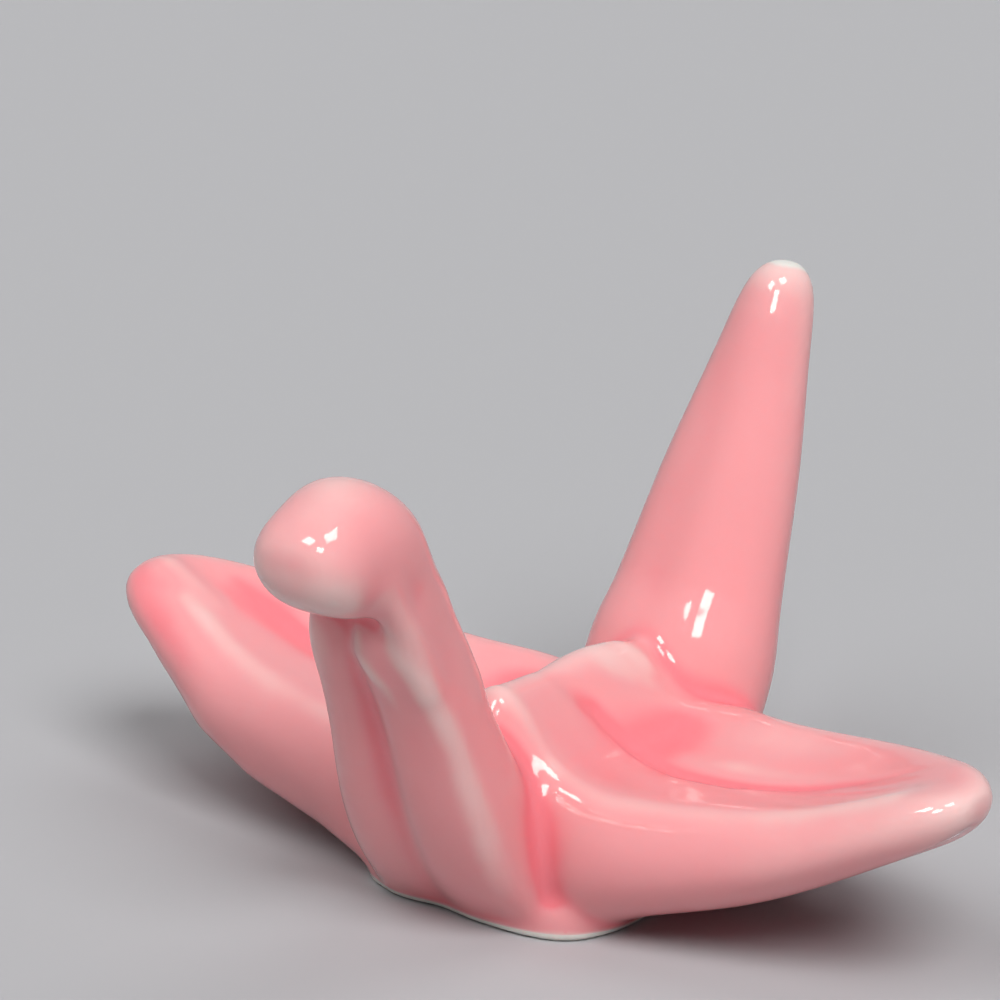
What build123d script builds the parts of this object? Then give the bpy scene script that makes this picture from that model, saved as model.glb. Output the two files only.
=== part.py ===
from build123d import *
import os
from collections import namedtuple
from math import cos, radians, sin, tan

# A chopstick rest in the form of a folded paper crane: five solid pieces of porcelain clay, luted together,
# fired, and covered by one coat of glaze that stops just above the table.
# The crane faces -Y, its wings lie along X, and the middle of its foot is the origin. Millimetres.

# Overall sizes, over the glaze
WING_SPAN = 58.5
TAIL_HEIGHT = 31.1
BODY_WIDTH = 17.0

# Glaze
GLAZE = 0.45
BARE_FOOT = 0.35

# Neck: where its axis meets the table, how far it leans forward, and the groove down its folded front
NECK_FOOT_X = -0.8
NECK_FOOT_Y = -9.9
NECK_LEAN = 26.8
FOLD_DEPTH = 0.5

# Head: the height of the chin that the neck bends round, and how far it is ahead of the neck's axis
CHIN_HEIGHT = 22.1
CHIN_AHEAD = 1.5

# Tail: where its axis meets the table, and how far it leans back
TAIL_FOOT_Y = 4.6
TAIL_LEAN = 24.8

# Foot: a flat pad, notched in its front edge beside the neck's groove
FOOT_WIDTH = 16.2
FOOT_FRONT = -12.2
FOOT_BACK = 10.8
FOOT_NOTCH = 1.2
FOOT_NOTCH_X = -3.6
FOOT_TOP = 2.0

# How far the rough forms run below the table before the foot is cut flat
FOOT_STOCK = 1.0

# Cuts across the wings and the body, from the middle to the tip. share is the place along the half span.
# front and back are the foremost and rearmost points and under is the height of the underside. The rims
# stand on each side of the crease that runs out along the wing: each of the three is a Y and a height.
# The swells are how far the panels between crease and rims bulge above a straight line.
WingCut = namedtuple("WingCut", "share front back under front_rim crease back_rim front_swell back_swell")
WING_CUTS = (
    WingCut(0.00, -11.0, 10.6, -FOOT_STOCK, (-9.3, 13.2), (-4.2, 12.9), (-1.2, 13.0), 0.0, 0.0),
    WingCut(0.07, -11.2, 10.5, -FOOT_STOCK, (-9.4, 11.6), (-3.7, 11.1), (1.4, 11.2), 0.1, 0.3),
    WingCut(0.14, -11.4, 10.2, -FOOT_STOCK, (-9.8, 9.8), (-3.3, 9.3), (4.0, 9.4), 0.1, 0.4),
    WingCut(0.22, -11.7, 8.9, -0.4, (-9.9, 8.9), (-3.2, 8.4), (4.0, 9.5), 0.1, -0.2),
    WingCut(0.32, -11.7, 6.9, 1.0, (-9.6, 8.7), (-3.2, 8.3), (3.4, 9.9), 0.1, -0.1),
    WingCut(0.48, -10.8, 5.4, 2.6, (-8.6, 9.1), (-3.3, 8.7), (3.0, 10.3), 0.1, 0.0),
    WingCut(0.66, -9.8, 3.9, 4.8, (-7.7, 10.0), (-3.1, 9.8), (1.9, 11.2), 0.1, 0.1),
    WingCut(0.84, -8.6, 1.4, 7.7, (-7.0, 11.7), (-3.6, 11.8), (-0.6, 12.4), 0.1, 0.1),
    WingCut(0.95, -7.4, -1.2, 9.7, (-6.2, 12.6), (-4.4, 12.8), (-2.8, 13.0), 0.0, 0.0),
    WingCut(1.00, -5.9, -3.1, 11.0, (-5.3, 12.5), (-4.5, 12.6), (-3.7, 12.5), 0.0, 0.0),
)

# Cuts through the neck and head. front and back are half depths from the axis, corner is the half width of
# the flat front and width that of the sides.
Oval = namedtuple("Oval", "corner width front back fold")
# Level cuts up the neck, by the share of its height from its stock to the chin
NECK_CUTS = (
    (0.00, Oval(5.6, 6.4, 0.4, 5.0, 0.4)),
    (0.10, Oval(5.5, 6.1, 2.4, 5.0, 0.6)),
    (0.22, Oval(5.2, 5.7, 3.5, 5.0, 0.7)),
    (0.41, Oval(4.8, 5.3, 3.8, 4.7, 0.9)),
    (0.58, Oval(4.3, 4.8, 3.4, 4.3, 1.0)),
    (0.76, Oval(3.9, 4.3, 3.2, 3.9, 1.0)),
    (0.91, Oval(3.5, 3.9, 3.0, 3.6, 0.8)),
)
# Cuts round the bend of the head, by how far they stand ahead of and over the chin and how far they are
# turned up from level
HEAD_CUTS = (
    (0.0, 0.0, 32.0, Oval(3.3, 3.8, 0.0, 4.4, 0.3)),
    (0.0, 0.0, 64.0, Oval(3.2, 3.8, 0.0, 5.9, 0.0)),
    (0.4, 0.1, 90.0, Oval(3.1, 3.9, 0.0, 7.4, 0.0)),
    (2.1, 0.2, 103.0, Oval(2.8, 3.7, 0.0, 7.0, 0.0)),
    (3.6, 0.6, 111.0, Oval(2.4, 3.3, 0.0, 5.6, 0.0)),
    (4.6, 1.3, 115.0, Oval(1.8, 2.5, 0.0, 4.1, 0.0)),
    (5.1, 2.2, 117.0, Oval(1.0, 1.4, 0.0, 2.2, 0.0)),
)

# Level cuts through the tail: share of its height, half width and half depth
TailCut = namedtuple("TailCut", "share width depth")
TAIL_CUTS = (
    TailCut(0.00, 5.8, 4.2),
    TailCut(0.20, 5.8, 4.2),
    TailCut(0.40, 5.6, 4.0),
    TailCut(0.58, 4.7, 3.4),
    TailCut(0.74, 3.75, 2.8),
    TailCut(0.88, 2.8, 2.15),
    TailCut(0.97, 1.85, 1.5),
    TailCut(1.00, 0.9, 0.8),
)


def between(a, b, share):
    return a + (b - a) * share


def inset(points, depth):
    """Points of a closed outline moved inward; the outline runs anticlockwise."""
    moved = []
    for i, (u, v) in enumerate(points):
        before = points[i - 1]
        after = points[(i + 1) % len(points)]
        along = Vector(after[0] - before[0], after[1] - before[1]).normalized()
        moved.append((u - along.Y * depth, v + along.X * depth))
    return moved


def smooth_face(points):
    return Face(Wire([Spline(points, periodic=True)]))


def panel_point(crease, rim, share, swell):
    """A point of the panel between the crease and a rim, raised above the straight line between them."""
    return between(crease[0], rim[0], share), between(crease[1], rim[1], share) + swell


def wing_outline(cut):
    """Outline of one cut in Y and Z: flat below, bulged at both edges, with two panels that meet in a crease."""
    chord = cut.back - cut.front
    front_z = cut.front_rim[1]
    back_z = cut.back_rim[1]
    return [
        ((cut.front + cut.back) / 2, cut.under),
        (cut.back - 0.16 * chord, between(cut.under, back_z, 0.05)),
        (cut.back, between(cut.under, back_z, 0.5)),
        cut.back_rim,
        panel_point(cut.crease, cut.back_rim, 0.6, cut.back_swell),
        panel_point(cut.crease, cut.back_rim, 0.2, 0.6 * cut.back_swell),
        cut.crease,
        panel_point(cut.crease, cut.front_rim, 0.25, 0.6 * cut.front_swell),
        panel_point(cut.crease, cut.front_rim, 0.65, cut.front_swell),
        cut.front_rim,
        (cut.front, between(cut.under, front_z, 0.5)),
        (cut.front + 0.16 * chord, between(cut.under, front_z, 0.05)),
    ]


def wing_form(depth):
    """Body and both wings in one smooth form, its surface the given depth under the glaze."""
    reach = WING_SPAN / 2 - depth
    faces = []
    for cut in WING_CUTS:
        outline = inset(wing_outline(cut), depth)
        x = reach * cut.share
        faces.append(smooth_face([(x, y, z) for y, z in outline]))
    mirrored = [mirror(face, about=Plane.YZ) for face in reversed(faces[1:])]
    return loft([*mirrored, *faces])


def fold_outline(oval):
    """Half round behind; in front two folded edges meet at a groove, and the edge on +X stands proud."""
    fold = FOLD_DEPTH * oval.fold
    front = -oval.front
    return [
        (0.0, front + fold),
        (0.28 * oval.corner, front),
        (0.62 * oval.corner, front + 0.5 * fold),
        (oval.corner, front + 0.12 * (oval.front + oval.back)),
        (oval.width, between(front, oval.back, 0.45)),
        (0.72 * oval.width, between(front, oval.back, 0.86)),
        (0.0, oval.back),
        (-0.72 * oval.width, between(front, oval.back, 0.86)),
        (-oval.width, between(front, oval.back, 0.45)),
        (-oval.corner, front + 0.12 * (oval.front + oval.back)),
        (-0.5 * oval.corner, front + 0.6 * fold),
    ]


def turned_face(oval, place, turn, depth):
    """A cut of the neck whose plane holds X and is turned up from level."""
    x, y, z = place
    outline = inset(fold_outline(oval), depth)
    return smooth_face([(x + u, y + v * cos(radians(turn)), z + v * sin(radians(turn))) for u, v in outline])


def neck_axis(z):
    """Place of the neck's axis at a height: it leans forward, and comes to the middle at the chin."""
    return NECK_FOOT_X * (1 - z / CHIN_HEIGHT), NECK_FOOT_Y - z * tan(radians(NECK_LEAN)), z


def neck_form(depth):
    """The neck and the head that bends forward from it, in one smooth form."""
    faces = []
    for share, oval in NECK_CUTS:
        z = between(-FOOT_STOCK, CHIN_HEIGHT, share)
        faces.append(turned_face(oval, neck_axis(z), 0.0, depth))
    x, y, z = neck_axis(CHIN_HEIGHT)
    for ahead, over, turn, oval in HEAD_CUTS:
        faces.append(turned_face(oval, (x, y - CHIN_AHEAD - ahead, z + over), turn, depth))
    return loft(faces)


def tail_outline(cut, axis):
    w = cut.width
    d = cut.depth
    return [
        (0.0, axis - d),
        (0.70 * w, axis - 0.72 * d),
        (w, axis),
        (0.70 * w, axis + 0.72 * d),
        (0.0, axis + d),
        (-0.70 * w, axis + 0.72 * d),
        (-w, axis),
        (-0.70 * w, axis - 0.72 * d),
    ]


def tail_form(depth):
    top = TAIL_HEIGHT - depth
    faces = []
    for cut in TAIL_CUTS:
        z = between(-FOOT_STOCK, top, cut.share)
        axis = TAIL_FOOT_Y + z * tan(radians(TAIL_LEAN))
        outline = inset(tail_outline(cut, axis), depth)
        faces.append(smooth_face([(x, y, z) for x, y in outline]))
    return loft(faces)


def foot_outline():
    half = FOOT_WIDTH / 2
    return [
        (FOOT_NOTCH_X, FOOT_FRONT + FOOT_NOTCH),
        (0.30 * half, FOOT_FRONT),
        (0.85 * half, FOOT_FRONT + 0.14 * half),
        (half, between(FOOT_FRONT, FOOT_BACK, 0.22)),
        (0.92 * half, between(FOOT_FRONT, FOOT_BACK, 0.65)),
        (0.55 * half, between(FOOT_FRONT, FOOT_BACK, 0.95)),
        (-0.55 * half, between(FOOT_FRONT, FOOT_BACK, 0.95)),
        (-0.92 * half, between(FOOT_FRONT, FOOT_BACK, 0.65)),
        (-half, between(FOOT_FRONT, FOOT_BACK, 0.20)),
        (-0.82 * half, FOOT_FRONT + 0.8 * FOOT_NOTCH),
    ]


def foot_form(depth):
    outline = inset(foot_outline(), depth)
    face = smooth_face([(x, y, -FOOT_STOCK / 2) for x, y in outline])
    return extrude(face, amount=FOOT_STOCK / 2 + FOOT_TOP, dir=(0, 0, 1))


def above(height):
    """Everything over a level plane, as a block."""
    size = 3 * WING_SPAN
    return Pos(0, 0, height + size / 2) * Box(size, size, size)


def across(low, high):
    """Everything between two upright planes across X, as a block."""
    size = 3 * WING_SPAN
    return Pos((low + high) / 2, 0, 0) * Box(high - low, size, size)


def main():
    os.makedirs("parts", exist_ok=True)
    wings = (wing_form(GLAZE) + foot_form(GLAZE)) & above(0)
    neck = neck_form(GLAZE) & above(0)
    tail = tail_form(GLAZE) & above(0)
    half = BODY_WIDTH / 2
    pieces = {
        "body": wings & across(-half, half),
        "left_wing": wings & across(half, WING_SPAN),
        "right_wing": wings & across(-WING_SPAN, -half),
        "neck_and_head": neck - wings,
        "tail": tail - wings,
    }
    dipped = wing_form(0) + neck_form(0) + tail_form(0) + foot_form(0)
    pieces["glaze_coat"] = (dipped & above(BARE_FOOT)) - wings - neck - tail
    for name, piece in pieces.items():
        export_step(piece, f"parts/{name}.step")


main()
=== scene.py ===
from collections import namedtuple
from math import cos, radians, sin

import bpy
import numpy as np
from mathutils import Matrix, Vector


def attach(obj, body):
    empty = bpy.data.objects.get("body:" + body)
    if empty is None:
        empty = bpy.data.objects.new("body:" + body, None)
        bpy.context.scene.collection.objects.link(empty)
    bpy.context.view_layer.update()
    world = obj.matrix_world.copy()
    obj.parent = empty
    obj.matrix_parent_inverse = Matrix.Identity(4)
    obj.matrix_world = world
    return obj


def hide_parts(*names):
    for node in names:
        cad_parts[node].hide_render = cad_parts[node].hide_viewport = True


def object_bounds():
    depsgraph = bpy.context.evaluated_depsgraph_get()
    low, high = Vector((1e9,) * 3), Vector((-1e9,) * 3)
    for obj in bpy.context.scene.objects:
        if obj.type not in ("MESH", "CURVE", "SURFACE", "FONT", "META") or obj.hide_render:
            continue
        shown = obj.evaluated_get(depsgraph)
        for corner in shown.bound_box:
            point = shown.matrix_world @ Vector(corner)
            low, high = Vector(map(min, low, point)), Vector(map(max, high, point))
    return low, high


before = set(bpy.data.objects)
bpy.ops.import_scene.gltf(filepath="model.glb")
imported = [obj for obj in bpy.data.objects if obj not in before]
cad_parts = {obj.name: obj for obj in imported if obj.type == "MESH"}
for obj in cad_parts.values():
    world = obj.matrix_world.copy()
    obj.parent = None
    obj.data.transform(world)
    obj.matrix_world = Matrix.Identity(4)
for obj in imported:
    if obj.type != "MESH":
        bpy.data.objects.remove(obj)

import openvdb
from bpy.props import FloatProperty, FloatVectorProperty, PointerProperty
from mathutils import Matrix, Vector

bl_info = {
    "name": "Paper Crane Chopstick Rest",
    "version": (1, 0, 0),
    "blender": (4, 5, 0),
    "location": "View3D > Sidebar > Crane Rest",
    "description": "Glazes a porcelain crane chopstick rest over its fired clay pieces",
    "category": "Object",
}

CAD_BOX = [list(corner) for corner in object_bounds()]
CLAY = ("body", "left_wing", "right_wing", "neck_and_head", "tail")
MM = 0.001

# Measures of the glaze skin, in millimetres
TABLE_GAP = 0.02  # between the skin and the table
FOOT_OUTLINE = 0.5  # height at which the outline of the foot is taken
WIPED_EDGE = 0.4  # softness of the edge along which the glaze is wiped off
HOLLOW_REACH = 1.1  # how far round a point it is told whether it lies in a hollow or on an edge
LEFT_BY_STROKES = 0.1  # glaze that a stroke leaves over the clay
FRONT_ENDS = -4.0  # Y behind which the strokes seen from the front don't act
SMOOTHED_CELLS = 0.6  # last smoothing of the surface, in cells of its grid
FACING_GAIN = 3.0  # how fast a stroke gains strength as the surface turns to face it

# Depth of the glaze: about 0 where it is thin, and about 1 where it pools, with painted light and shade from
# two strokes added
USUAL_DEPTH = 0.45  # on an even surface
HOLLOW_GAIN = 1.1  # added for each millimetre of hollow
EDGE_LOSS = 0.6  # taken away for each millimetre of edge
WIPED_LOSS = 1.2  # taken away where the foot is wiped
CLOUD_GAIN = 0.34  # added, at most, by soft clouds in the glaze

# Depths, with the clouds, at which the clay is bare and the glaze has its thin, usual and deep colours
BARE_AT = 0.0
THIN_AT = 0.12
USUAL_AT = 0.52
DEEP_AT = 0.95

# Roughness of glaze and clay, and the depths between which one gives way to the other
GLAZE_ROUGHNESS = 0.07
CLAY_ROUGHNESS = 0.75
GLOSSY_ABOVE = -0.4
MATT_BELOW = -0.75

# Light of the room
ROOM_LIGHT = 0.10  # on the rest and the floor
GLOSS_LIGHT = 0.6  # as it shows in the gloss
WALL_LIGHT = 0.5  # as it shows behind the floor

# Lamps: the point that they face and how far off the window panes hang, in metres, and the panes' colour
LAMP_AIM = Vector((0.0, 0.0, 0.01))
PANE_DISTANCE = 0.8
PANE_COLOUR = (1.0, 0.95, 0.86)

# Rolls of clay worked in before the glaze, each along a path of X, Y, Z and radius, in millimetres
Roll = namedtuple("Roll", "both_sides blend path")
ROLLS = (
    # Left cheek, down from the head to the corner of the neck
    Roll(False, 0.6, ((2.9, -24.0, 24.4, 1.0), (3.1, -22.2, 21.2, 1.0), (3.3, -20.4, 17.4, 0.8))),
    # Rounded tip of the beak
    Roll(True, 0.9, ((0.0, -26.45, 25.65, 2.5), (0.8, -26.4, 25.65, 2.45))),
    # Nape, straight down from the back of the head
    Roll(True, 1.0, (
        (0.9, -21.6, 25.4, 1.6), (1.3, -20.3, 23.5, 1.75), (1.6, -19.4, 22.0, 1.8), (1.6, -18.6, 20.0, 1.88),
        (1.7, -17.6, 18.0, 1.95), (1.8, -16.5, 16.0, 1.85), (1.6, -15.6, 14.0, 1.5),
    )),
    # Spread of the tail at its root, and its tip
    Roll(True, 1.5, ((0.3, 8.9, 10.0, 3.6), (1.3, 8.95, 10.0, 3.6))),
    Roll(False, 0.8, (
        (0.0, 15.3, 23.2, 1.9), (0.0, 16.6, 26.0, 2.0), (0.0, 17.5, 28.0, 1.95), (0.0, 18.1, 29.3, 1.75),
    )),
    # Fuller belly of the right wing, out of the corner of the foot
    Roll(False, 1.2, (
        (-7.5, -9.4, 2.6, 2.0), (-11.5, -8.0, 3.5, 2.2), (-17.0, -7.6, 4.9, 2.2), (-20.4, -7.4, 6.7, 2.2),
        (-23.6, -6.4, 9.0, 1.9),
    )),
    # Rounded tip of the right wing
    Roll(False, 0.8, ((-24.0, -4.7, 10.4, 1.2), (-27.2, -4.6, 11.9, 1.4))),
)

# Strokes of the shaping tool, seen from above (X and Y), from the front (X and Z) or from the side
# (Y and Z), in millimetres. Each point of a path has the stroke's strength there. lift raises or sinks
# the surface, and tone is how much more glaze lies along it, or less where it is below zero. On the
# beak and under the chin, the tone is painted light and painted shade.
Stroke = namedtuple("Stroke", "seen_from both_sides width lift tone path")
STROKES = (
    # Crease out along each wing, and the dip behind it
    Stroke("TOP", True, 0.55, -0.22, 0.38, (
        (0.6, -4.8, 0.15), (1.6, -4.1, 0.4), (2.6, -3.2, 1.0), (4.4, -3.0, 1.0), (6.3, -3.1, 1.0),
        (8.3, -3.4, 0.9), (12.4, -3.4, 0.4),
    )),
    Stroke("TOP", True, 0.35, -0.12, 0.32, (
        (8.3, -3.4, 0.5), (12.4, -3.4, 1.0), (15.5, -3.0, 1.0), (18.0, -2.6, 0.8), (21.0, -2.2, 0.5),
        (24.0, -2.0, 0.2),
    )),
    Stroke("TOP", True, 1.4, -0.15, 0.32, ((5.3, -1.4, 1.0), (5.4, 1.2, 0.9))),
    # Ridges on which the glaze is thin: in front, on the rump, behind the crease and on the wing's panels
    Stroke("TOP", True, 0.8, 0.08, -0.2, (
        (0.4, -9.4, 0.6), (1.9, -9.1, 1.0), (4.2, -9.6, 1.0), (8.3, -9.9, 0.7), (15.9, -8.6, 0.6),
        (20.3, -7.5, 0.8), (24.5, -6.2, 1.0),
    )),
    Stroke("TOP", True, 0.7, 0.06, -0.2, (
        (0.0, 2.4, 0.7), (1.0, 2.8, 1.0), (2.5, 4.3, 1.0), (4.3, 4.8, 0.8), (6.0, 4.2, 0.4),
    )),
    Stroke("TOP", True, 1.5, 0.0, -0.32, ((1.2, 0.4, 0.8), (2.4, 2.2, 1.0), (3.2, 2.9, 0.8))),
    Stroke("TOP", True, 0.9, 0.04, -0.22, (
        (7.8, -1.7, 0.6), (11.4, -1.9, 1.0), (15.0, -2.1, 0.8), (19.0, -1.4, 0.3),
    )),
    Stroke("TOP", True, 1.8, 0.0, -0.2, ((9.8, 0.9, 0.7), (13.9, 0.7, 1.0), (17.0, 0.4, 0.7))),
    Stroke("TOP", True, 1.8, 0.0, -0.14, ((10.0, -7.0, 0.4), (19.7, -6.6, 0.8), (25.0, -5.2, 1.0))),
    # Thin glaze on the crown of the head, along the chin and on the tip of the tail
    Stroke("TOP", False, 2.0, 0.0, -0.2, ((-0.3, -23.5, 1.0), (0.5, -26.3, 0.8))),
    Stroke("FRONT", False, 1.2, 0.0, -0.34, ((-2.4, 24.0, 0.8), (0.0, 23.5, 1.0), (2.4, 24.0, 1.0))),
    Stroke("TOP", False, 1.3, 0.0, -0.3, ((0.0, 18.8, 1.0), (0.0, 19.3, 1.0))),
    # Painted light: paler colour on the front of the beak, where the lamps leave its facet too dark
    Stroke("FRONT", False, 1.0, 0.0, -0.18, ((-2.6, 25.4, 0.7), (0.0, 25.6, 1.0), (2.6, 25.4, 0.7))),
    # Painted shade: deeper colour in the hollow under the chin, where the head shades the neck
    Stroke("FRONT", False, 0.7, 0.0, 0.4, ((-2.6, 21.7, 0.8), (-0.8, 21.6, 1.0), (1.2, 21.7, 0.7))),
    # Groove, lip and corner down the folded front of the neck
    Stroke("FRONT", False, 0.8, -0.1, 0.08, (
        (-0.6, 20.8, 0.8), (-0.6, 18.3, 1.0), (-0.5, 15.5, 1.0), (-0.4, 12.0, 1.0), (-0.3, 9.0, 1.0),
        (-0.6, 5.1, 0.9), (-1.6, 1.9, 0.6),
    )),
    Stroke("FRONT", False, 0.5, 0.08, -0.3, (
        (0.3, 20.9, 1.0), (0.0, 19.3, 1.0), (0.9, 18.2, 1.0), (1.5, 17.4, 0.8), (1.9, 15.5, 0.3),
    )),
    Stroke("FRONT", False, 0.65, 0.06, -0.24, (
        (2.2, 22.2, 0.8), (2.6, 20.4, 1.0), (3.5, 18.1, 1.0), (3.8, 15.5, 1.0), (4.2, 13.2, 0.8),
        (4.3, 10.8, 0.7), (4.4, 8.0, 0.6), (4.1, 5.1, 0.5), (3.6, 2.4, 0.3),
    )),
    # Flute between neck and wing, where the glaze has run down
    Stroke("SIDE", True, 1.2, 0.0, 0.08, (
        (-12.2, 10.0, 0.5), (-12.7, 7.0, 1.0), (-12.8, 3.8, 1.0), (-12.4, 2.2, 0.6),
    )),
    # Deeper glaze in the valley of the right wing, and a deeper pink stripe along its outer edge
    Stroke("TOP", False, 0.9, 0.0, 0.3, ((-23.5, -2.3, 0.6), (-21.0, -2.2, 1.0), (-17.0, -2.8, 1.0))),
    Stroke("FRONT", False, 1.0, 0.0, 0.42, (
        (-28.1, 12.4, 1.0), (-26.9, 11.8, 1.0), (-24.5, 10.6, 1.0), (-22.5, 9.5, 0.7), (-20.5, 8.8, 0.3),
    )),
)


class GlazeSettings(bpy.types.PropertyGroup):
    """The pink glaze: how it melts over the clay, and its colours"""

    cell: FloatProperty(
        name="Grain",
        description="Size of the cells that the glaze surface is worked out on",
        default=0.24 * MM, min=0.1 * MM, unit="LENGTH", precision=5,
    )
    melt: FloatProperty(
        name="Melt",
        description="How far the molten glaze rounds an edge or fills a crease",
        default=0.42 * MM, min=0.0, unit="LENGTH", precision=5,
    )
    least: FloatProperty(
        name="Least coat",
        description="Thinnest glaze left on a sharp edge",
        default=0.2 * MM, min=0.0, unit="LENGTH", precision=5,
    )
    stop: FloatProperty(
        name="Bare foot",
        description="Height over the table at which the glaze stops, and under which the clay is wiped bare",
        default=0.45 * MM, min=0.0, unit="LENGTH", precision=5,
    )
    thin: FloatVectorProperty(
        name="Thin glaze",
        description="Colour where the glaze breaks over an edge and the white clay shows through",
        default=(0.86, 0.56, 0.54), subtype="COLOR", min=0.0, max=1.0,
    )
    usual: FloatVectorProperty(
        name="Usual glaze",
        description="Colour of the glaze at its usual depth",
        default=(0.86, 0.335, 0.35), subtype="COLOR", min=0.0, max=1.0,
    )
    deep: FloatVectorProperty(
        name="Deep glaze",
        description="Colour where the glaze pools",
        default=(0.88, 0.205, 0.24), subtype="COLOR", min=0.0, max=1.0,
    )


class ClaySettings(bpy.types.PropertyGroup):
    """The bare fired clay"""

    colour: FloatVectorProperty(
        name="Bare clay",
        description="Colour of the unglazed rim of the foot",
        default=(0.80, 0.77, 0.72), subtype="COLOR", min=0.0, max=1.0,
    )


class StageSettings(bpy.types.PropertyGroup):
    """Floor, lamps and camera"""

    floor: FloatVectorProperty(
        name="Floor",
        description="Colour of the table and backdrop",
        default=(0.45, 0.45, 0.465), subtype="COLOR", min=0.0, max=1.0,
    )
    azimuth: FloatProperty(
        name="Azimuth",
        description="How far round the object the camera stands",
        default=radians(35.5), subtype="ANGLE",
    )
    elevation: FloatProperty(
        name="Elevation",
        description="How far over the horizon the camera stands",
        default=radians(20.0), subtype="ANGLE",
    )
    roll: FloatProperty(
        name="Roll",
        description="How far the camera is turned about its own axis",
        default=radians(1.05), subtype="ANGLE",
    )
    distance: FloatProperty(
        name="Distance",
        description="From the camera to the point it looks at",
        default=0.464, unit="LENGTH",
    )
    aim: FloatVectorProperty(
        name="Aim",
        description="Point that the camera looks at",
        default=(-0.00925, 0.00371, 0.01859), subtype="XYZ", precision=5,
    )
    lens: FloatProperty(
        name="Lens",
        description="Focal length of the camera",
        default=289.5, unit="CAMERA",
    )


def clay_triangles(name):
    """Corners and triangles of one piece of the frame, in millimetres."""
    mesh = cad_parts[name].data
    mesh.calc_loop_triangles()
    points = np.empty(len(mesh.vertices) * 3, np.float32)
    mesh.vertices.foreach_get("co", points)
    corners = np.empty(len(mesh.loop_triangles) * 3, np.int32)
    mesh.loop_triangles.foreach_get("vertices", corners)
    points = points.reshape(-1, 3) / MM
    corners = corners.reshape(-1, 3)
    points, index = np.unique(np.round(points, 5), axis=0, return_inverse=True)
    return points, index.reshape(-1)[corners]


class DistanceGrid:
    """Signed distances on a block of cells round the whole rest, in millimetres, below zero inside.

    Distances are kept as far as reach, in cells, and margin is the room left round the rest.
    """

    def __init__(self, cell, reach=14, margin=2.5):
        self.cell = cell
        self.reach = reach
        low = np.array(CAD_BOX[0]) / MM - margin
        high = np.array(CAD_BOX[1]) / MM + margin
        self.start = np.floor(low / cell).astype(int)
        self.shape = tuple(np.ceil(high / cell).astype(int) - self.start)
        self.transform = openvdb.createLinearTransform(voxelSize=cell)

    def of_surface(self, points, triangles, quads=None):
        """Distances to a closed surface."""
        band = openvdb.FloatGrid.createLevelSetFromPolygons(
            points.astype(np.float32),
            triangles=triangles.astype(np.uint32),
            quads=quads,
            transform=self.transform,
            halfWidth=self.reach,
        )
        field = np.full(self.shape, self.reach * self.cell, np.float32)
        band.copyToArray(field, ijk=tuple(int(i) for i in self.start))
        return field

    def surface(self, field, level=0.0):
        """Points, triangles and quads of the surface at one level of a field."""
        band = openvdb.FloatGrid(float(self.reach * self.cell))
        band.transform = self.transform
        band.gridClass = openvdb.GridClass.LEVEL_SET
        band.copyFromArray(field, ijk=tuple(int(i) for i in self.start))
        return band.convertToPolygons(isovalue=level, adaptivity=0.0)

    def of_pieces(self, names, bridge=0.08):
        """Distances to touching pieces taken as one, with seams up to twice bridge wide closed."""
        fields = [self.of_surface(*clay_triangles(name)) for name in names]
        nearest = np.minimum.reduce(fields)
        points, triangles, quads = self.surface(nearest, bridge)
        return self.of_surface(points, triangles, quads) + bridge

    def blurred(self, field, spread):
        """The field with its detail under about the given spread smoothed out."""
        sigma = spread / self.cell
        steps = int(np.ceil(3 * sigma))
        weights = np.exp(-0.5 * (np.arange(-steps, steps + 1) / sigma) ** 2)
        weights /= weights.sum()
        for axis in range(3):
            pad = [(steps, steps) if axis == k else (0, 0) for k in range(3)]
            wide = np.pad(field, pad, mode="edge")
            total = np.zeros_like(field)
            for i, weight in enumerate(weights):
                part = [slice(i, i + field.shape[axis]) if axis == k else slice(None) for k in range(3)]
                total += weight * wide[tuple(part)]
            field = total
        return field

    def centres(self):
        """X, Y and Z of the cells, each shaped to spread over the block."""
        axes = [(np.arange(n) + first) * self.cell for n, first in zip(self.shape, self.start)]
        return np.meshgrid(*[axis.astype(np.float32) for axis in axes], indexing="ij", sparse=True)

    def with_roll(self, field, roll):
        """The field with a roll of clay blended into it."""
        x, y, z = self.centres()
        if roll.both_sides:
            x = np.abs(x)
        clay = np.full(self.shape, np.inf, np.float32)
        for first, last in zip(roll.path, roll.path[1:]):
            start = np.array(first[:3])
            span = np.array(last[:3]) - start
            along = (x - start[0]) * span[0] + (y - start[1]) * span[1] + (z - start[2]) * span[2]
            along = np.clip(along / (span @ span), 0, 1)
            gap = np.sqrt(
                (x - start[0] - along * span[0]) ** 2
                + (y - start[1] - along * span[1]) ** 2
                + (z - start[2] - along * span[2]) ** 2
            )
            clay = np.minimum(clay, gap - (first[3] + along * (last[3] - first[3])))
        share = np.clip(0.5 + 0.5 * (clay - field) / roll.blend, 0, 1)
        return clay + (field - clay) * share - roll.blend * share * (1 - share)

    def at(self, field, points):
        """Values of a field at points, blended between the eight nearest cells."""
        place = points / self.cell - self.start
        corner = np.clip(np.floor(place).astype(int), 0, np.array(self.shape) - 2)
        share = place - corner
        value = np.zeros(len(points))
        for dx in (0, 1):
            for dy in (0, 1):
                for dz in (0, 1):
                    step = np.array((dx, dy, dz))
                    weight = np.prod(np.where(step, share, 1 - share), axis=1)
                    value += weight * field[tuple((corner + step).T)]
        return value


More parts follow.
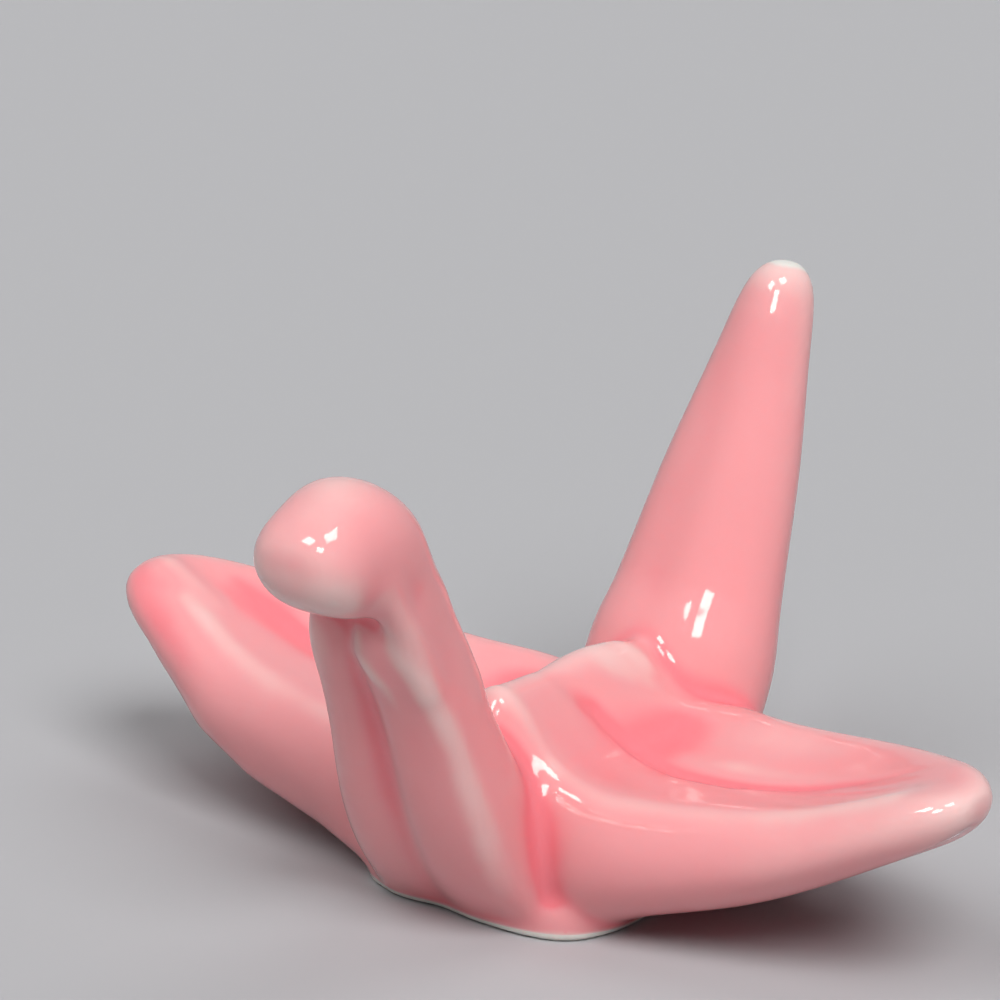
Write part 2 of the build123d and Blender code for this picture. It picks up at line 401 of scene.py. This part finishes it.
def stroke_weight(stroke, points, normals):
    """How strongly a stroke acts at points of the skin: most on its path, and only where it is seen."""
    if stroke.seen_from == "TOP":
        flat = points[:, [0, 1]]
        facing = normals[:, 2]
    elif stroke.seen_from == "FRONT":
        flat = points[:, [0, 2]]
        facing = np.where(points[:, 1] < FRONT_ENDS, -normals[:, 1], 0.0)
    else:
        flat = points[:, [1, 2]]
        facing = np.abs(normals[:, 0])
    if stroke.both_sides and stroke.seen_from != "SIDE":
        flat = np.abs(flat) * (1, 0) + flat * (0, 1)
    weight = np.zeros(len(points))
    for first, last in zip(stroke.path, stroke.path[1:]):
        start = np.array(first[:2])
        span = np.array(last[:2]) - start
        along = np.clip((flat - start) @ span / (span @ span), 0, 1)
        gap = np.linalg.norm(flat - start - along[:, None] * span, axis=1)
        strength = first[2] + along * (last[2] - first[2])
        weight = np.maximum(weight, strength * np.exp(-((gap / stroke.width) ** 2)))
    return weight * np.clip(FACING_GAIN * facing, 0, 1)


def new_material(name):
    """A material, its shader, a function that adds a node with its inputs and one that links sockets."""
    material = bpy.data.materials.new(name)
    material.use_nodes = True
    nodes = material.node_tree.nodes
    shader = nodes["Principled BSDF"]

    def add(kind, **inputs):
        node = nodes.new(kind)
        for key, value in inputs.items():
            node.inputs[key].default_value = value
        return node

    return material, shader, add, material.node_tree.links.new


def rgba(colour):
    """A colour without transparency."""
    return (*colour, 1.0)


def pink_glaze(settings, clay):
    """Glossy pink glaze: pale where thin, deeper where it pools, and matt clay where it is wiped off."""
    material, shader, add, link = new_material("pink_glaze")
    depth = add("ShaderNodeAttribute")
    depth.attribute_name = "glaze_depth_and_painted_light"
    place = add("ShaderNodeTexCoord")

    clouds = add("ShaderNodeTexNoise", Scale=115.0, Detail=3.0, Roughness=0.5)
    link(place.outputs["Object"], clouds.inputs["Vector"])
    drift = add("ShaderNodeMath")
    drift.operation = "MULTIPLY_ADD"
    drift.inputs[1].default_value = CLOUD_GAIN
    link(clouds.outputs["Fac"], drift.inputs[0])
    link(depth.outputs["Fac"], drift.inputs[2])

    ramp = add("ShaderNodeValToRGB")
    ramp.color_ramp.interpolation = "EASE"
    stops = ramp.color_ramp.elements
    stops[0].position = BARE_AT
    stops[0].color = rgba(clay.colour)
    stops[1].position = DEEP_AT
    stops[1].color = rgba(settings.deep)
    stops.new(THIN_AT).color = rgba(settings.thin)
    stops.new(USUAL_AT).color = rgba(settings.usual)
    link(drift.outputs["Value"], ramp.inputs["Fac"])
    link(ramp.outputs["Color"], shader.inputs["Base Color"])

    ripple = add("ShaderNodeTexNoise", Scale=420.0, Detail=2.0, Roughness=0.45)
    link(place.outputs["Object"], ripple.inputs["Vector"])
    bump = add("ShaderNodeBump", Strength=0.05, Distance=0.0004)
    link(ripple.outputs["Fac"], bump.inputs["Height"])
    link(bump.outputs["Normal"], shader.inputs["Normal"])

    matt = add("ShaderNodeMapRange", **{
        "From Min": MATT_BELOW, "To Min": CLAY_ROUGHNESS,
        "From Max": GLOSSY_ABOVE, "To Max": GLAZE_ROUGHNESS,
    })
    link(depth.outputs["Fac"], matt.inputs["Value"])
    link(matt.outputs["Result"], shader.inputs["Roughness"])
    shader.inputs["IOR"].default_value = 1.52
    shader.inputs["Subsurface Weight"].default_value = 0.25
    shader.inputs["Subsurface Radius"].default_value = (1.0, 0.35, 0.30)
    shader.inputs["Subsurface Scale"].default_value = 0.0008
    return material


def bare_clay(settings):
    """Fired porcelain without glaze: off-white, matt and very finely grained."""
    material, shader, add, link = new_material("bare_clay")
    place = add("ShaderNodeTexCoord")
    grain = add("ShaderNodeTexNoise", Scale=2200.0, Detail=4.0, Roughness=0.6)
    link(place.outputs["Object"], grain.inputs["Vector"])
    ramp = add("ShaderNodeValToRGB")
    stops = ramp.color_ramp.elements
    stops[0].position = 0.3
    stops[0].color = rgba([0.86 * c for c in settings.colour])
    stops[1].position = 0.7
    stops[1].color = rgba(settings.colour)
    link(grain.outputs["Fac"], ramp.inputs["Fac"])
    link(ramp.outputs["Color"], shader.inputs["Base Color"])
    bump = add("ShaderNodeBump", Strength=0.3, Distance=0.00005)
    link(grain.outputs["Fac"], bump.inputs["Height"])
    link(bump.outputs["Normal"], shader.inputs["Normal"])
    shader.inputs["Roughness"].default_value = CLAY_ROUGHNESS
    return material


class CRANE_OT_clay(bpy.types.Operator):
    """Give the fired clay pieces their bare porcelain finish"""

    bl_idname = "crane.clay"
    bl_label = "Fired Clay"

    def execute(self, context):
        material = bare_clay(context.scene.crane_clay)
        for name in CLAY:
            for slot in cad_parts[name].material_slots:
                slot.material = material
        return {"FINISHED"}


class CRANE_OT_glaze(bpy.types.Operator):
    """Melt the glaze over the clay as one skin, thin on edges and pooled in creases"""

    bl_idname = "crane.glaze"
    bl_label = "Pink Glaze"

    def execute(self, context):
        settings = context.scene.crane_glaze
        grid = DistanceGrid(settings.cell / MM)
        clay = grid.of_pieces(CLAY)
        dipped = self.dip(grid)
        points, triangles, quads = grid.surface(self.melt(grid, clay, dipped, settings))
        mesh = bpy.data.meshes.new("glaze_skin")
        faces = [tuple(int(i) for i in reversed(face)) for face in (*quads, *triangles)]
        mesh.from_pydata((points * MM).tolist(), [], faces)
        mesh.validate()
        depth = self.pool(grid, dipped, points)
        self.stroke(grid, clay, mesh, points, depth)
        depth -= WIPED_LOSS * np.clip((settings.stop / MM - points[:, 2]) / WIPED_EDGE + 0.5, 0, 1)
        attribute = mesh.attributes.new("glaze_depth_and_painted_light", "FLOAT", "POINT")
        attribute.data.foreach_set("value", depth.astype(np.float32))
        mesh.shade_smooth()
        mesh.materials.append(pink_glaze(settings, context.scene.crane_clay))
        skin = bpy.data.objects.new("glaze_skin", mesh)
        context.scene.collection.objects.link(skin)
        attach(skin, "root")
        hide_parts("glaze_coat")
        return {"FINISHED"}

    def dip(self, grid):
        """The clay with its coat and the rolls, and the outline of the foot carried down past the table."""
        dipped = grid.of_pieces((*CLAY, "glaze_coat"))
        for roll in ROLLS:
            dipped = grid.with_roll(dipped, roll)
        foot = int(np.argmin(np.abs(grid.centres()[2] - FOOT_OUTLINE)))
        dipped[:, :, :foot] = dipped[:, :, foot, None]
        return dipped

    def melt(self, grid, clay, dipped, settings):
        """The coat rounded as it melts, never thinner than its least, and cut off level at the table."""
        skin = np.minimum(grid.blurred(dipped, settings.melt / MM), clay - settings.least / MM)
        skin = np.maximum(skin, TABLE_GAP - grid.centres()[2])
        return grid.blurred(skin, SMOOTHED_CELLS * grid.cell)

    def pool(self, grid, dipped, points):
        """Depth of the glaze at each point: more in a hollow, and less on an edge."""
        hollow = grid.at(dipped, points) - grid.at(grid.blurred(dipped, HOLLOW_REACH), points)
        return USUAL_DEPTH + np.where(hollow > 0, HOLLOW_GAIN, EDGE_LOSS) * hollow

    def stroke(self, grid, clay, mesh, points, depth):
        """Draw the strokes: shift the points of the mesh, and add each stroke's tone to the depth."""
        normals = np.empty(len(points) * 3, np.float32)
        mesh.vertices.foreach_get("normal", normals)
        normals = normals.reshape(-1, 3)
        lift = np.zeros(len(points))
        for stroke in STROKES:
            weight = stroke_weight(stroke, points, normals)
            lift += stroke.lift * weight
            depth += stroke.tone * weight
        lift = np.maximum(lift, np.minimum(LEFT_BY_STROKES - grid.at(clay, points), 0.0))
        shifted = points + normals * lift[:, None]
        mesh.vertices.foreach_set("co", (shifted * MM).astype(np.float32).ravel())
        mesh.update()


def direction(azimuth, elevation):
    """Unit vector from the rest, by angles round from its front and up from the table."""
    return Vector((
        sin(azimuth) * cos(elevation),
        -cos(azimuth) * cos(elevation),
        sin(elevation),
    ))


def hang(context, data, place):
    """A lamp at a place, facing the rest."""
    lamp = bpy.data.objects.new(data.name, data)
    lamp.location = place
    lamp.rotation_euler = (LAMP_AIM - place).to_track_quat("-Z", "Y").to_euler()
    context.scene.collection.objects.link(lamp)
    return lamp


class CRANE_OT_stage(bpy.types.Operator):
    """Lay the floor, hang the lamps and stand the camera where the photograph was taken"""

    bl_idname = "crane.stage"
    bl_label = "Stage"

    def execute(self, context):
        settings = context.scene.crane_stage
        self.lay_floor(context, settings)
        self.light_room(context)
        self.hang_lamps(context)
        self.stand_camera(context, settings)
        context.scene.view_settings.view_transform = "Standard"
        return {"FINISHED"}

    def lay_floor(self, context, settings):
        """A wide square of matt card."""
        material, shader, *_ = new_material("matt_card")
        shader.inputs["Base Color"].default_value = rgba(settings.floor)
        shader.inputs["Roughness"].default_value = 0.9
        shader.inputs["Specular IOR Level"].default_value = 0.2
        mesh = bpy.data.meshes.new("floor")
        reach = 3.0
        corners = [(-reach, -reach, 0), (reach, -reach, 0), (reach, reach, 0), (-reach, reach, 0)]
        mesh.from_pydata(corners, [], [(0, 1, 2, 3)])
        mesh.materials.append(material)
        floor = bpy.data.objects.new("floor", mesh)
        context.scene.collection.objects.link(floor)

    def light_room(self, context):
        """A dim room, with pale walls that show in the gloss and behind the floor."""
        world = bpy.data.worlds.new("studio")
        world.use_nodes = True
        nodes = world.node_tree.nodes
        link = world.node_tree.links.new
        nodes.remove(nodes["Background"])
        rays = nodes.new("ShaderNodeLightPath")

        def white(strength):
            node = nodes.new("ShaderNodeBackground")
            node.inputs["Color"].default_value = (1.0, 1.0, 1.0, 1.0)
            node.inputs["Strength"].default_value = strength
            return node.outputs["Background"]

        def seen_by(ray, others, seen):
            node = nodes.new("ShaderNodeMixShader")
            link(rays.outputs[ray], node.inputs["Fac"])
            link(others, node.inputs[1])
            link(seen, node.inputs[2])
            return node.outputs["Shader"]

        room = seen_by("Is Glossy Ray", white(ROOM_LIGHT), white(GLOSS_LIGHT))
        room = seen_by("Is Camera Ray", room, white(WALL_LIGHT))
        link(room, nodes["World Output"].inputs["Surface"])
        context.scene.world = world

    def hang_lamps(self, context):
        """Soft light from the right, the left and the back, and window panes that show only as highlights."""
        for name, azimuth, elevation, strength, spread in (
            ("right_light", 54, 50, 2.35, 30),
            ("left_light", -18, 56, 1.05, 40),
            ("back_light", 165, 68, 0.40, 35),
        ):
            data = bpy.data.lights.new(name, "SUN")
            data.energy = strength
            data.angle = radians(spread)
            lamp = hang(context, data, direction(radians(azimuth), radians(elevation)))
            lamp.visible_glossy = False
        for name, azimuth, elevation, size, watts in (
            ("left_pane", -22, 61, 0.19, 1.7),
            ("right_pane", 22, 51, 0.18, 1.6),
            ("top_pane", 60, 75, 0.22, 2.0),
        ):
            data = bpy.data.lights.new(name, "AREA")
            data.size = size
            data.energy = watts
            data.color = PANE_COLOUR
            place = PANE_DISTANCE * direction(radians(azimuth), radians(elevation))
            lamp = hang(context, data, place)
            lamp.visible_diffuse = False
            lamp.visible_camera = False

    def stand_camera(self, context, settings):
        """A camera that looks at its aim, turned a little about its own axis."""
        right = Vector((cos(settings.azimuth), sin(settings.azimuth), 0.0))
        back = direction(settings.azimuth, settings.elevation)
        up = back.cross(right)
        turned_right = right * cos(settings.roll) + up * sin(settings.roll)
        turned_up = up * cos(settings.roll) - right * sin(settings.roll)
        place = Vector(settings.aim) + back * settings.distance
        data = bpy.data.cameras.new("camera")
        data.sensor_width = 36.0
        data.lens = settings.lens
        camera = bpy.data.objects.new("camera", data)
        turn = Matrix((turned_right, turned_up, back)).transposed().to_4x4()
        camera.matrix_world = Matrix.Translation(place) @ turn
        context.scene.collection.objects.link(camera)
        context.scene.camera = camera


class CRANE_PT_rest(bpy.types.Panel):
    """Sizes, colours and steps of the crane rest"""

    bl_idname = "CRANE_PT_rest"
    bl_label = "Crane Rest"
    bl_space_type = "VIEW_3D"
    bl_region_type = "UI"
    bl_category = "Crane Rest"

    def draw(self, context):
        layout = self.layout
        for step in ("clay", "glaze", "stage"):
            box = layout.box()
            settings = getattr(context.scene, f"crane_{step}")
            for name in settings.bl_rna.properties.keys():
                if name not in ("rna_type", "name"):
                    box.prop(settings, name)
            box.operator(f"crane.{step}")


CLASSES = (
    GlazeSettings,
    ClaySettings,
    StageSettings,
    CRANE_OT_clay,
    CRANE_OT_glaze,
    CRANE_OT_stage,
    CRANE_PT_rest,
)


def register():
    for cls in CLASSES:
        bpy.utils.register_class(cls)
    bpy.types.Scene.crane_clay = PointerProperty(type=ClaySettings)
    bpy.types.Scene.crane_glaze = PointerProperty(type=GlazeSettings)
    bpy.types.Scene.crane_stage = PointerProperty(type=StageSettings)


def unregister():
    del bpy.types.Scene.crane_stage
    del bpy.types.Scene.crane_glaze
    del bpy.types.Scene.crane_clay
    for cls in reversed(CLASSES):
        bpy.utils.unregister_class(cls)


def main():
    register()
    bpy.ops.crane.clay()
    bpy.ops.crane.glaze()
    bpy.ops.crane.stage()


if __name__ == "__main__":
    main()
